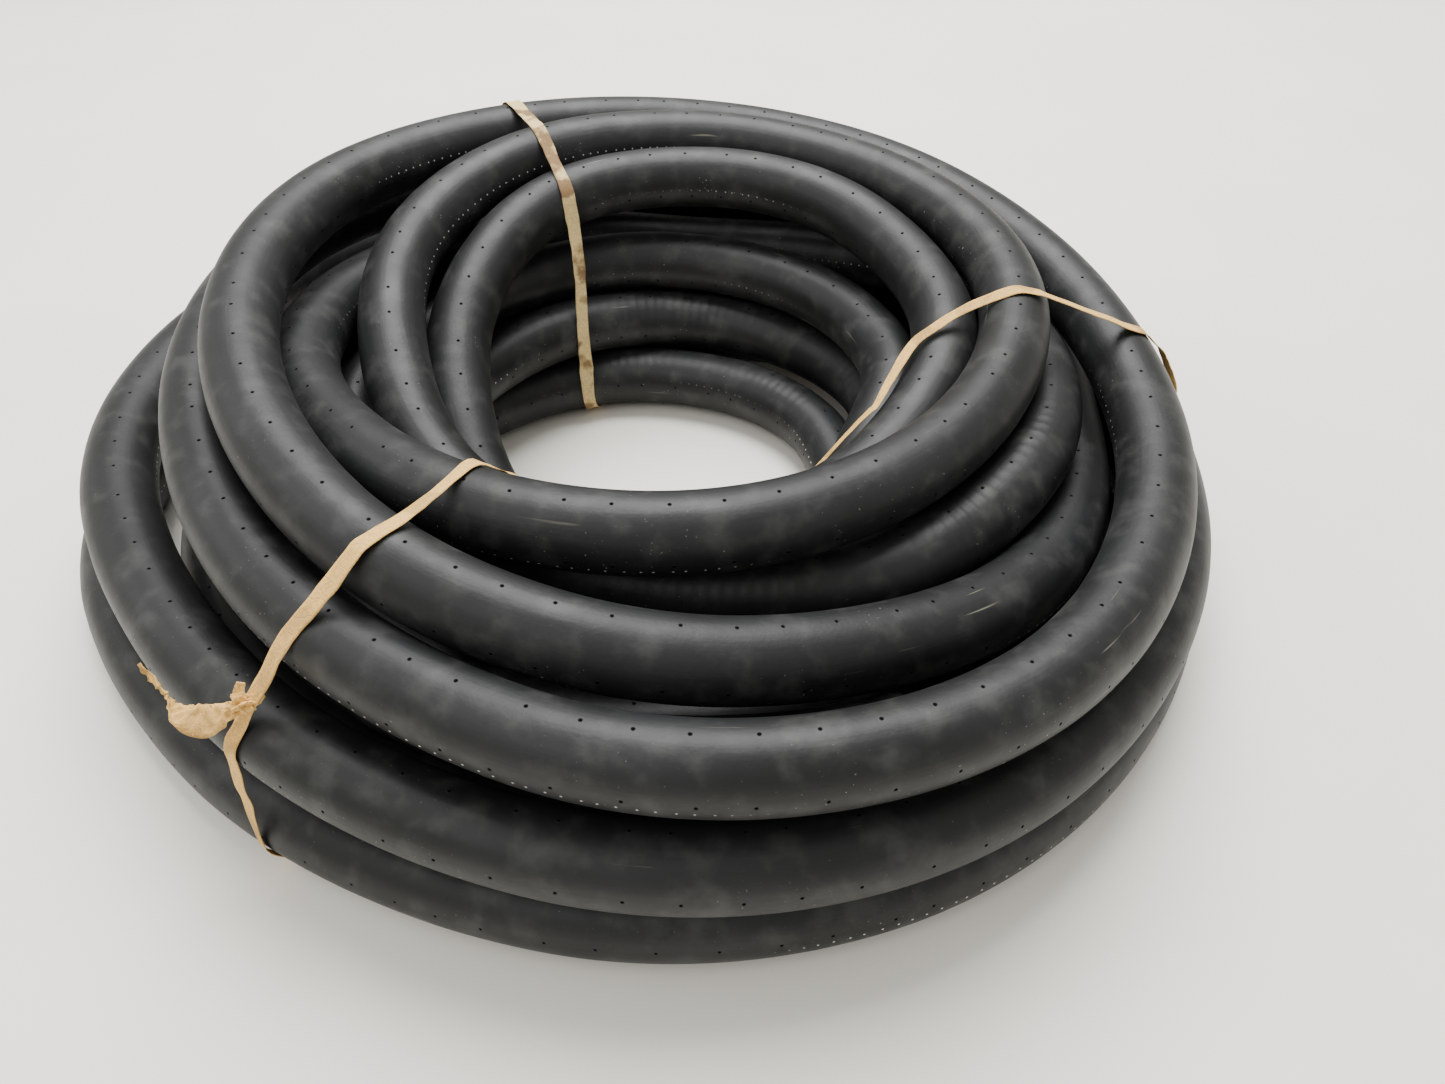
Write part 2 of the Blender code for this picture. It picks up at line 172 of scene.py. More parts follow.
@dataclass(frozen=True)
class Winding:
    """The lay of the hose: a chart of its turns, settled against one another."""

    diameter: float = 28.6 * MM
    pitch: float = 29.2 * MM
    lift: float = 0.8 * MM
    chart_step: int = 10
    rounds: int = 320
    gap: float = 1.03

    def stations(self) -> tuple[np.ndarray, np.ndarray]:
        """Read the chart.

        Returns:
            Bearings from the hose's start to its end, and (radius, height) at each.
        """
        knots = np.array([(360.0 * n + b, r, z) for n, turn in enumerate(TURNS) for b, r, z in turn])
        bearing = np.arange(knots[0, 0], knots[-1, 0] + 1e-6, self.chart_step)
        radius = interpolate(knots[:, 0], knots[:, 1], bearing)
        height = interpolate(knots[:, 0], knots[:, 2], bearing)
        return bearing, np.stack([radius, np.maximum(height, 0.5)], 1)

    def settled(self) -> tuple[np.ndarray, np.ndarray]:
        """Push overlapping turns apart until each has its room.

        Returns:
            Bearings, and the settled (radius, height) at each.
        """
        bearing, target = self.stations()
        place = target.copy()
        hold = np.full(len(bearing), 0.01)
        for turn, start, stop in OUTER:
            hold[(bearing >= 360 * turn + start) & (bearing <= 360 * turn + stop)] = 0.06
        per_turn = 360 // self.chart_step
        columns = [np.arange(c, len(bearing), per_turn) for c in range(per_turn)]
        step = math.radians(self.chart_step)
        for number in range(self.rounds):
            early = number < 0.6 * self.rounds
            slope = smoothed(np.gradient(place, axis=0) / (np.maximum(place[:, :1], 1) * step),
                             (0.25, 0.5, 0.25))
            move = np.zeros_like(place)
            for column in columns:
                move[column] += self.pushes(place[column], slope[column], hold[column])
            length = np.linalg.norm(move, axis=1, keepdims=True)
            move *= np.minimum(1, 0.06 / np.maximum(length, 1e-9))
            place += 0.9 * smoothed(smoothed(move, (0.25, 0.5, 0.25)), (0.25, 0.5, 0.25))
            shift = place - target
            bend = np.zeros_like(shift)
            bend[1:-1] = 0.5 * (shift[:-2] + shift[2:]) - shift[1:-1]
            place += (0.4 if early else 0.08) * bend
            if early:
                place += (target - place) * hold[:, None]
            place[:, 1] = np.maximum(place[:, 1], 0.5)
        return bearing, place

    def pushes(self, here: np.ndarray, slope: np.ndarray, hold: np.ndarray) -> np.ndarray:
        """Find how the turns that cross one bearing push each other.

        Args:
            here: (radius, height) of each turn at this bearing.
            slope: How fast each of them changes along its turn.
            hold: How firmly each keeps its place.

        Returns:
            The move that each turn asks for.
        """
        apart = here[:, None] - here[None]
        distance = np.sqrt((apart ** 2).sum(2))
        np.fill_diagonal(distance, 9.0)
        distance = np.maximum(distance, 1e-3)
        skew = slope[:, None] - slope[None]
        skew_2 = (skew ** 2).sum(2)
        along_2 = (apart * skew).sum(2) ** 2 / np.maximum(skew_2, 1e-12)
        crossing = np.minimum(skew_2 / (1 + skew_2), 0.5)
        true_gap = np.sqrt(np.maximum(distance ** 2 - along_2 * crossing, 1e-4))
        lack = np.clip(self.gap - true_gap, 0, 0.5)
        freedom = 1 / hold
        share = freedom[:, None] / (freedom[:, None] + freedom[None])
        return (apart / distance[..., None] * (lack * share)[..., None]).sum(1)

    def line(self, bearing: np.ndarray, place: np.ndarray, step: float) -> np.ndarray:
        """Draw the hose's centre line.

        Args:
            bearing: Settled bearings.
            place: Settled (radius, height).
            step: Degrees between points.

        Returns:
            Points in metres about the winding's own axis.
        """
        fine = np.append(np.arange(bearing[0], bearing[-1] - 0.5 * step, step), bearing[-1])
        radius = interpolate(bearing, place[:, 0], fine)
        height = np.maximum(interpolate(bearing, place[:, 1], fine), 0.5)
        turn = np.radians(fine)
        line = np.stack([-radius * np.sin(turn), -radius * np.cos(turn), height], 1) * self.pitch
        line[:, 2] += self.height_offset()
        return line

    def height_offset(self) -> float:
        """Give the height that the chart's floor stands above the real one.

        Returns:
            Metres.
        """
        return self.lift - 0.5 * (self.pitch - self.diameter)


class Graph:
    """Builds one material's node tree."""

    def __init__(self, name: str) -> None:
        """Start a material with a Principled shader.

        Args:
            name: The material's name.
        """
        self.material = bpy.data.materials.new(name)
        self.material.use_nodes = True
        self.tree = self.material.node_tree
        self.shader = self.tree.nodes["Principled BSDF"]

    def add(self, kind: str, settings: dict | None = None, **links) -> bpy.types.NodeSocket:
        """Add a node with its settings and its inputs.

        Args:
            kind: Node type without its "ShaderNode" prefix.
            settings: Node attributes.
            **links: Input name or "i0", "i1"... to a socket or a constant.

        Returns:
            The node's first enabled output.
        """
        node = self.tree.nodes.new("ShaderNode" + kind)
        for key, value in (settings or {}).items():
            setattr(node, key, value)
        for key, value in links.items():
            name = int(key[1:]) if key[1:].isdigit() else key.replace("_", " ")
            self.feed(node.inputs[name], value)
        return next(out for out in node.outputs if out.enabled)

    def feed(self, socket: bpy.types.NodeSocket, value) -> None:
        """Link a socket, or set its constant.

        Args:
            socket: The input.
            value: A socket, a number or a tuple.
        """
        if isinstance(value, bpy.types.NodeSocket):
            self.tree.links.new(value, socket)
        else:
            socket.default_value = value

    def math(self, operation: str, a, b=0.0, c=0.0) -> bpy.types.NodeSocket:
        """Add a math node.

        Args:
            operation: Blender's name for it.
            a: First value or socket.
            b: Second value or socket.
            c: Third value or socket.

        Returns:
            Its result.
        """
        return self.add("Math", {"operation": operation}, i0=a, i1=b, i2=c)

    def ramp(self, value, low: float, high: float) -> bpy.types.NodeSocket:
        """Map low..high of a value to a smooth 0..1.

        Args:
            value: Input socket.
            low: Gives 0.
            high: Gives 1.

        Returns:
            The mapped socket.
        """
        settings = {"interpolation_type": "SMOOTHSTEP"}
        return self.add("MapRange", settings, i0=value, i1=low, i2=high)

    def noise(self, place, scale: float, detail: float = 2.0) -> bpy.types.NodeSocket:
        """Add a noise of a real size.

        Args:
            place: Coordinates in metres.
            scale: Features per metre.
            detail: Octaves.

        Returns:
            Its value, around 0.5.
        """
        return self.add("TexNoise", None, Vector=place, Scale=scale, Detail=detail)

    def mix(self, share, a, b) -> bpy.types.NodeSocket:
        """Mix two colours.

        Args:
            share: 0 gives a, 1 gives b.
            a: Colour or socket.
            b: Colour or socket.

        Returns:
            The mixed colour.
        """
        node = self.tree.nodes.new("ShaderNodeMix")
        node.data_type = "RGBA"
        for index, value in ((0, share), (6, a), (7, b)):
            self.feed(node.inputs[index], value)
        return node.outputs[2]

    def bump(self, height, depth: float, normal=None) -> bpy.types.NodeSocket:
        """Add relief of a real depth.

        Args:
            height: Height socket, 0 to 1.
            depth: Metres at 1.
            normal: A bump to build on.

        Returns:
            The normal.
        """
        node = self.tree.nodes.new("ShaderNodeBump")
        node.inputs["Distance"].default_value = depth
        self.feed(node.inputs["Height"], height)
        if normal is not None:
            self.feed(node.inputs["Normal"], normal)
        return node.outputs[0]


@dataclass(frozen=True)
class RubberFinish:
    """Extruded rubber hose cover: satin black with vents, dots, dust and scuffs."""

    name: str = "extruded_rubber_cover"
    colour: tuple = linear("151716")
    dust: tuple = linear("A9A9A2")
    vent_spacing: float = 17.7 * MM
    vent_radius: float = 0.75 * MM
    vent_rows: float = 22.46 * MM
    dot_spacing: float = 4.9 * MM
    dot_radius: float = 0.5 * MM
    dot_rows: float = 44.92 * MM

    def dots(self, g: Graph, u, v, spacing: float, row: float, radius: float, seed: float):
        """Draw rows of round spots along the hose.

        Args:
            g: The material's graph.
            u: Distance along the hose, metres.
            v: Distance around it, metres.
            spacing: Between spots in a row.
            row: Between rows.
            radius: Of a spot.
            seed: Shifts the jitter.

        Returns:
            Socket that is 1 in a spot and 0 outside.
        """
        cu = g.math("DIVIDE", u, spacing)
        cv = g.math("DIVIDE", v, row)
        cell = g.add("CombineXYZ", None, i0=g.math("FLOOR", cu), i1=g.math("FLOOR", cv), i2=seed)
        jitter = g.add("TexWhiteNoise", {"noise_dimensions": "3D"}, i0=cell)
        wobble = g.math("MULTIPLY", g.math("SUBTRACT", jitter, 0.5), 0.35)
        du = g.math("SUBTRACT", g.math("ADD", g.math("FRACT", cu), wobble), 0.5)
        dv = g.math("SUBTRACT", g.math("FRACT", cv), 0.5)
        away = g.add("CombineXYZ", None, i0=g.math("MULTIPLY", du, spacing),
                     i1=g.math("MULTIPLY", dv, row), i2=0.0)
        length = g.tree.nodes.new("ShaderNodeVectorMath")
        length.operation = "LENGTH"
        g.feed(length.inputs[0], away)
        return g.ramp(length.outputs["Value"], radius, radius * 0.45)

    def make(self) -> bpy.types.Material:
        """Build the material.

        Returns:
            The material.
        """
        g = Graph(self.name)
        uv = g.add("UVMap", {"uv_map": "hose"})
        split = g.tree.nodes.new("ShaderNodeSeparateXYZ")
        g.feed(split.inputs[0], uv)
        u, v = split.outputs[0], split.outputs[1]
        place = g.tree.nodes.new("ShaderNodeTexCoord").outputs["Object"]
        # slow change of tone, as the cover is handled
        patch = g.noise(place, 16, 3)
        tone = g.mix(g.ramp(patch, 0.35, 0.7), self.colour, linear("1F2021"))
        # pin-prick vents: tiny black pits in rows, which let gas out of the cover
        vents = self.dots(g, u, v, self.vent_spacing, self.vent_rows, self.vent_radius, 1.0)
        # transfer dots: small white dots in a broken row
        aside = g.math("ADD", v, 8 * MM)
        row = self.dots(g, u, aside, self.dot_spacing, self.dot_rows, self.dot_radius, 4.0)
        stretch = g.add("CombineXYZ", None, i0=u, i1=0.0, i2=0.0)
        broken = g.ramp(g.noise(stretch, 3.4, 2), 0.50, 0.58)
        dots = g.math("MULTIPLY", row, broken)
        # dust specks, thickest on the sides that face down
        speck = g.ramp(g.noise(place, 950, 1), 0.73, 0.80)
        where = g.ramp(g.noise(place, 22, 2), 0.45, 0.62)
        normal = g.tree.nodes.new("ShaderNodeNewGeometry").outputs["Normal"]
        aim = g.tree.nodes.new("ShaderNodeSeparateXYZ")
        g.feed(aim.inputs[0], normal)
        low = g.ramp(aim.outputs[2], 0.75, -0.2)
        speck = g.math("MULTIPLY", speck, g.math("MULTIPLY", where, g.math("ADD", low, 0.30)))
        # scuffs: thin pale lines along the hose from handling
        drawn = g.add("CombineXYZ", None, i0=g.math("MULTIPLY", u, 0.05), i1=v, i2=0.0)
        lines = g.ramp(g.noise(drawn, 420, 2), 0.70, 0.78)
        part = g.ramp(g.noise(stretch, 5, 2), 0.48, 0.66)
        scuff = g.math("MULTIPLY", g.math("MULTIPLY", lines, part), 0.55)
        # bloom: a thin mottled film that greys the black
        film = g.math("MULTIPLY", g.ramp(g.noise(place, 85, 8), 0.46, 0.76), 0.15)
        colour = g.mix(film, tone, linear("6F706C"))
        colour = g.mix(scuff, colour, linear("9A9684"))
        colour = g.mix(g.math("MULTIPLY", speck, 0.75), colour, self.dust)
        colour = g.mix(g.math("MULTIPLY", dots, 0.8), colour, linear("E6E6E0"))
        colour = g.mix(vents, colour, linear("0B0B0C"))
        g.feed(g.shader.inputs["Base Color"], colour)
        # satin skin, duller where dusty
        rough = g.math("ADD", 0.40, g.math("MULTIPLY", g.noise(place, 60, 3), 0.16))
        g.feed(g.shader.inputs["Roughness"], g.math("ADD", rough, g.math("MULTIPLY", speck, 0.3)))
        g.shader.inputs["IOR"].default_value = 1.5
        g.feed(g.shader.inputs["Specular IOR Level"], g.math("MULTIPLY_ADD", vents, -0.31, 0.31))
        relief = g.bump(g.noise(drawn, 300, 2), 0.09 * MM)
        relief = g.bump(g.noise(place, 45, 2), 0.35 * MM, relief)
        relief = g.bump(g.noise(place, 700, 2), 0.05 * MM, relief)
        relief = g.bump(g.math("SUBTRACT", 1.0, vents), 0.25 * MM, relief)
        g.feed(g.shader.inputs["Normal"], relief)
        return g.material


@dataclass(frozen=True)
class PlainFinish:
    """A plain finish with a little grain, for the layers inside the hose."""

    name: str
    colour: tuple
    roughness: float
    grain: float = 900.0

    def make(self) -> bpy.types.Material:
        """Build the material.

        Returns:
            The material.
        """
        g = Graph(self.name)
        place = g.tree.nodes.new("ShaderNodeTexCoord").outputs["Object"]
        grain = g.noise(place, self.grain, 2)
        dark = tuple(0.7 * c for c in self.colour[:3]) + (1.0,)
        g.feed(g.shader.inputs["Base Color"], g.mix(g.ramp(grain, 0.3, 0.7), dark, self.colour))
        g.shader.inputs["Roughness"].default_value = self.roughness
        g.feed(g.shader.inputs["Normal"], g.bump(grain, 0.04 * MM))
        return g.material


@dataclass(frozen=True)
class KraftFinish:
    """Creased kraft paper with fibres and water stains."""

    name: str
    colour: tuple
    stain: float

    def make(self) -> bpy.types.Material:
        """Build the material.

        Returns:
            The material.
        """
        g = Graph(self.name)
        place = g.tree.nodes.new("ShaderNodeTexCoord").outputs["Object"]
        # fibres give the tan its fine mottle
        fibre = g.noise(place, 1300, 3)
        shade = tuple(0.72 * c for c in self.colour[:3]) + (1.0,)
        colour = g.mix(g.ramp(fibre, 0.25, 0.75), shade, self.colour)
        # stains from moisture and rubber
        blot = g.ramp(g.noise(place, 60, 4), 0.52, 0.62)
        colour = g.mix(g.math("MULTIPLY", blot, self.stain), colour, linear("6B4A2C"))
        g.feed(g.shader.inputs["Base Color"], colour)
        g.shader.inputs["Roughness"].default_value = 0.85
        g.shader.inputs["Subsurface Weight"].default_value = 0.08
        g.shader.inputs["Subsurface Radius"].default_value = (0.0006, 0.0004, 0.0002)
        # creases catch the light along the strip
        crease = g.add("TexVoronoi", {"feature": "DISTANCE_TO_EDGE"}, Vector=place, Scale=260.0)
        relief = g.bump(g.ramp(crease, 0.0, 0.08), 0.08 * MM)
        g.feed(g.shader.inputs["Normal"], g.bump(fibre, 0.04 * MM, relief))
        return g.material


@dataclass(frozen=True)
class TableFinish:
    """Smooth white laminate."""

    name: str = "white_laminate"

    def make(self) -> bpy.types.Material:
        """Build the material.

        Returns:
            The material.
        """
        g = Graph(self.name)
        place = g.tree.nodes.new("ShaderNodeTexCoord").outputs["Object"]
        tone = g.ramp(g.noise(place, 7, 2), 0.3, 0.7)
        g.feed(g.shader.inputs["Base Color"], g.mix(tone, linear("F6F2E8"), linear("FAF6ED")))
        g.shader.inputs["Roughness"].default_value = 0.55
        return g.material


def mesh_object(name: str, points: np.ndarray, quads: np.ndarray, smooth: bool) -> bpy.types.Object:
    """Make a mesh object from corners and four-sided faces.

    Args:
        name: The object's name.
        points: Corners, in metres.
        quads: Corner numbers of each face.
        smooth: Shade it smooth.

    Returns:
        The object, linked to the scene.
    """
    mesh = bpy.data.meshes.new(name)
    mesh.vertices.add(len(points))
    mesh.vertices.foreach_set("co", np.ascontiguousarray(points, np.float32).ravel())
    mesh.loops.add(quads.size)
    mesh.loops.foreach_set("vertex_index", np.ascontiguousarray(quads, np.int32).ravel())
    mesh.polygons.add(len(quads))
    mesh.polygons.foreach_set("loop_start", np.arange(len(quads), dtype=np.int32) * 4)
    mesh.polygons.foreach_set("use_smooth", np.full(len(quads), smooth))
    mesh.update(calc_edges=True)
    made = bpy.data.objects.new(name, mesh)
    bpy.context.scene.collection.objects.link(made)
    return made


@dataclass
class Hose:
    """The one continuous hose, with its cut ends and their layers."""

    winding: Winding
    bore: float = 15.9 * MM
    liner: float = 21.0 * MM
    braid: float = 22.8 * MM
    pocket: float = 60 * MM
    sides: int = 40
    ring_spacing: float = 2.6 * MM
    fine_spacing: float = 1.1 * MM
    wrinkled: tuple = ((13, 285, 402, 1.0), (8, 90, 240, 0.8), (9, 90, 250, 0.9), (13, 150, 220, 0.4))
    line: np.ndarray = field(init=False)
    frame: tuple = field(init=False)
    arc: np.ndarray = field(init=False)
    centre: np.ndarray = field(init=False)

    def __post_init__(self) -> None:
        """Settle the winding and draw its centre line."""
        bearing, place = self.winding.settled()
        coarse = self.winding.line(bearing, place, 10)
        self.centre = np.append(0.5 * (coarse.min(0) + coarse.max(0))[:2], 0.0)
        fine = self.winding.line(bearing, place, 1) - self.centre
        steps = np.linalg.norm(np.diff(fine, axis=0), axis=1)
        arc = np.concatenate([[0.0], np.cumsum(steps)])
        turned = np.linspace(bearing[0], bearing[-1], len(arc))
        rate = np.where(self.tightness(turned) > 0, 1 / self.fine_spacing, 1 / self.ring_spacing)
        rings = np.concatenate([[0.0], np.cumsum(0.5 * (rate[1:] + rate[:-1]) * steps)])
        self.arc = np.interp(np.linspace(0, rings[-1], int(rings[-1]) + 1), rings, arc)
        self.line = np.stack([np.interp(self.arc, arc, fine[:, i]) for i in range(3)], 1)
        for _ in range(2):
            self.line[1:-1] = smoothed(self.line, (0.25, 0.5, 0.25))[1:-1]
        self.bearing = np.interp(self.arc, arc, turned)
        tangent = np.gradient(self.line, axis=0)
        tangent /= np.linalg.norm(tangent, axis=1, keepdims=True)
        side = np.cross(tangent, (0.0, 0.0, 1.0))
        side /= np.linalg.norm(side, axis=1, keepdims=True)
        self.frame = (side, np.cross(side, tangent))

    @property
    def length(self) -> float:
        """Length of the hose along its centre line, in metres."""
        return float(np.linalg.norm(np.diff(self.line, axis=0), axis=1).sum())

    def tightness(self, bearing: np.ndarray) -> np.ndarray:
        """Say where the hose is bent so tightly that its cover wrinkles.

        Args:
            bearing: Total bearings, in degrees.

        Returns:
            0 for smooth up to 1 for fully wrinkled.
        """
        tight = np.zeros(len(bearing))
        for turn, low, high, depth in self.wrinkled:
            rise = np.clip((bearing - 360 * turn - low) / 12, 0, 1)
            tight = np.maximum(tight, depth * rise * np.clip((360 * turn + high - bearing) / 12, 0, 1))
        return tight

    def ripple(self, angle: np.ndarray) -> np.ndarray:
        """Work out the cover's relief: bend wrinkles and slow dents.

        Args:
            angle: Angle around the hose of each side.

        Returns:
            Metres outwards, for every ring and side.
        """
        tight = self.tightness(self.bearing)
        phase = self.arc * (2 * math.pi / (5.2 * MM)) + 2.5 * wander(self.arc, 0.03, 3)
        rib = np.clip(np.sin(phase), -0.2, 1) * (0.75 + 0.5 * wander(self.arc, 0.02, 4))
        aim = 2.0 + 0.5 * wander(self.arc, 0.013, 8)
        facing = np.clip(0.2 + 0.8 * np.cos(angle[None] - aim[:, None]), 0, 1)
        ribs = (tight * rib)[:, None] * facing * 0.26 * MM
        oval = (0.10 * MM * wander(self.arc, 0.25, 5))[:, None] * np.cos(2 * angle)[None]
        swell = (0.07 * MM * wander(self.arc, 0.06, 6))[:, None]
        return ribs + oval + swell

    def build(self) -> bpy.types.Object:
        """Returns:
            The hose.
        """
        count = len(self.arc)
        angle = np.arange(self.sides) * (2 * math.pi / self.sides)
        outer = 0.5 * self.winding.diameter
        relief = self.ripple(angle)
        deep = int(self.pocket / self.ring_spacing)
        ends = ((deep, 0.5 * self.bore), (0, 0.5 * self.bore + 0.2 * MM), (0, 0.5 * self.liner),
                (0, 0.5 * self.braid), (0, outer - 0.4 * MM))
        rings, radii = [], []
        for index, radius in ends:
            rings.append(index)
            radii.append(radius)
        rings += list(range(count))
        radii += [outer] * count
        for index, radius in reversed(ends):
            rings.append(count - 1 - index)
            radii.append(radius)
        rings, radii = np.array(rings), np.array(radii)
        side, up = (axis[rings] for axis in self.frame)
        reach = radii[:, None] + np.zeros(self.sides)[None]
        skin = slice(len(ends), len(ends) + count)
        reach[skin] += relief
        points = (self.line[rings][:, None] + reach[..., None] * (
            side[:, None] * np.cos(angle)[None, :, None] + up[:, None] * np.sin(angle)[None, :, None]))
        total = len(rings)
        i, j = np.meshgrid(np.arange(total - 1), np.arange(self.sides), indexing="ij")
        k = (j + 1) % self.sides
        quads = np.stack([i * self.sides + j, i * self.sides + k,
                          (i + 1) * self.sides + k, (i + 1) * self.sides + j], -1).reshape(-1, 4)
        hose = mesh_object("rubber_hose", points.reshape(-1, 3), quads, True)
        self.unwrap(hose, rings, i, j)
        kinds = np.zeros(total - 1, np.int32)
        inner = [2, 2, 1, 0]
        kinds[:4] = inner
        kinds[-4:] = inner[::-1]
        hose.data.polygons.foreach_set("material_index", np.repeat(kinds, self.sides))
        self.cap(hose, total)
        for finish in (RubberFinish(),
                       PlainFinish("braided_polyester_cord", linear("B9B4A6"), 0.8, 1400.0),
                       PlainFinish("extruded_nylon_liner", linear("17181A"), 0.35)):
            hose.data.materials.append(finish.make())
        LOG.info("hose: %.2f m, %d rings", self.length, count)
        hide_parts("hose")
        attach(hose, "root")
        self.length
        return hose

    def unwrap(self, hose: bpy.types.Object, rings: np.ndarray, i: np.ndarray, j: np.ndarray) -> None:
        """Lay out the hose's surface in metres along and around it.

        Args:
            hose: The mesh object.
            rings: Line index of each ring.
            i: Ring number of each face.
            j: Side number of each face.
        """
        along = self.arc[rings]
        twist = 4 * MM * wander(self.arc, 0.9, 9)[rings]
        around = 0.5 * self.winding.diameter * 2 * math.pi / self.sides
        u = np.stack([along[i], along[i], along[i + 1], along[i + 1]], -1)
        v = np.stack([j, j + 1, j + 1, j], -1) * around
        v = v + np.stack([twist[i], twist[i], twist[i + 1], twist[i + 1]], -1) + 101.07 * MM
        layer = hose.data.uv_layers.new(name="hose")
        layer.uv.foreach_set("vector", np.stack([u, v], -1).astype(np.float32).ravel())

    def cap(self, hose: bpy.types.Object, total: int) -> None:
        """Close the bottoms of the two bores.

        Args:
            hose: The mesh object.
            total: How many rings it has.
        """
        mesh = hose.data
        start = len(mesh.loops)
        mesh.loops.add(2 * self.sides)
        first = np.arange(self.sides)[::-1]
        last = (total - 1) * self.sides + np.arange(self.sides)
        loops = np.zeros(len(mesh.loops), np.int32)
        mesh.loops.foreach_get("vertex_index", loops)
        loops[start:] = np.concatenate([first, last])
        mesh.loops.foreach_set("vertex_index", loops)
        mesh.polygons.add(2)
        for number in (1, 2):
            face = mesh.polygons[-number]
            face.loop_start = start + (2 - number) * self.sides
            face.material_index = 2
        mesh.update(calc_edges=True)
        mesh.validate()

    def surface(self) -> np.ndarray:
        """Sample the hose's outer surface.

        Returns:
            Points in metres.
        """
        angle = np.arange(24) * (2 * math.pi / 24)
        side, up = (axis[::2] for axis in self.frame)
        ring = side[:, None] * np.cos(angle)[None, :, None] + up[:, None] * np.sin(angle)[None, :, None]
        return (self.line[::2][:, None] + 0.5 * self.winding.diameter * ring).reshape(-1, 3)


def convex_outline(points: np.ndarray) -> np.ndarray:
    """Find the smallest convex outline around points in a plane.

    Args:
        points: Rows of (x, y).

    Returns:
        Its corners, anticlockwise.
    """
    order = points[np.lexsort((points[:, 1], points[:, 0]))]
    chains = []
    for run in (order, order[::-1]):
        chain = []
        for point in run:
            while len(chain) > 1:
                a = chain[-1] - chain[-2]
                b = point - chain[-2]
                if a[0] * b[1] - a[1] * b[0] > 0:
                    break
                chain.pop()
            chain.append(point)
        chains += chain[:-1]
    return np.array(chains)


def resample(points: np.ndarray, spacing: float) -> np.ndarray:
    """Walk round a closed outline in even steps.

    Args:
        points: Its corners.
        spacing: Wanted step, metres.

    Returns:
        Points round the outline.
    """
    closed = np.concatenate([points, points[:1]])
    arc = np.concatenate([[0.0], np.cumsum(np.linalg.norm(np.diff(closed, axis=0), axis=1))])
    at = np.linspace(0, arc[-1], int(arc[-1] / spacing) + 1)[:-1]
    return np.stack([np.interp(at, arc, closed[:, i]) for i in range(2)], 1)


@dataclass
class Ribbon:
    """A strip of paper along a path, with real thickness and torn edges."""

    name: str
    width: float
    thickness: float
    finish: KraftFinish
    seed: int
    crumple: float = 0.0

    def build(self, path: np.ndarray, normal: np.ndarray, across: np.ndarray,
              closed: bool, widths: np.ndarray | None = None) -> bpy.types.Object:
        """Build the strip.

        Args:
            path: Middle of the strip.
            normal: Outward direction at each point.
            across: Width direction at each point.
            closed: Whether it joins itself.
            widths: Share of the full width at each point.

        Returns:
            The strip.
        """
        count = len(path)
        at = np.arange(count) * 1.0
        share = np.ones(count) if widths is None else widths
        lanes = np.linspace(-0.5, 0.5, 7)
        fray = [1 + 0.07 * wander(at, 2.3, self.seed + 11 * n) + 0.05 * wander(at, 7, self.seed + n)
                for n in range(2)]
        if closed:
            blend = np.clip(np.minimum(at, count - 1 - at) / 8, 0, 1)
            fray = [1 + (f - 1) * blend for f in fray]
        cup = 0.06 * self.width * wander(at, 9, self.seed + 5)
        if closed:
            cup *= blend
        layers = []
        crush = {lane: self.crumple * wander(at, 1.7, self.seed + 70 + n)
                 for n, lane in enumerate(lanes)}
        for face in (0.5, -0.5):
            for lane in (lanes if face > 0 else lanes[::-1]):
                edge = fray[0] if lane > 0 else fray[1]
                out = face * self.thickness + np.abs(cup) * (lane * 2) ** 2 + crush[lane]
                layers.append(path + across * (lane * self.width * share * edge)[:, None]
                              + normal * out[:, None])
        points = np.stack(layers, 1)
        lanes_total = points.shape[1]
        last = count if closed else count - 1
        i, j = np.meshgrid(np.arange(last), np.arange(lanes_total), indexing="ij")
        ni, nj = (i + 1) % count, (j + 1) % lanes_total
        quads = np.stack([i * lanes_total + j, ni * lanes_total + j,
                          ni * lanes_total + nj, i * lanes_total + nj], -1).reshape(-1, 4)
        if not closed:
            ends = []
            for base, flip in ((0, False), ((count - 1) * lanes_total, True)):
                for n in range(len(lanes) - 1):
                    far = base + lanes_total - 1 - n
                    quad = [base + n, base + n + 1, far - 1, far]
                    ends.append(quad[::-1] if flip else quad)
            quads = np.concatenate([quads, np.array(ends)])
        strip = mesh_object(self.name, points.reshape(-1, 3), quads, True)
        strip.data.materials.append(self.finish.make())
        return strip


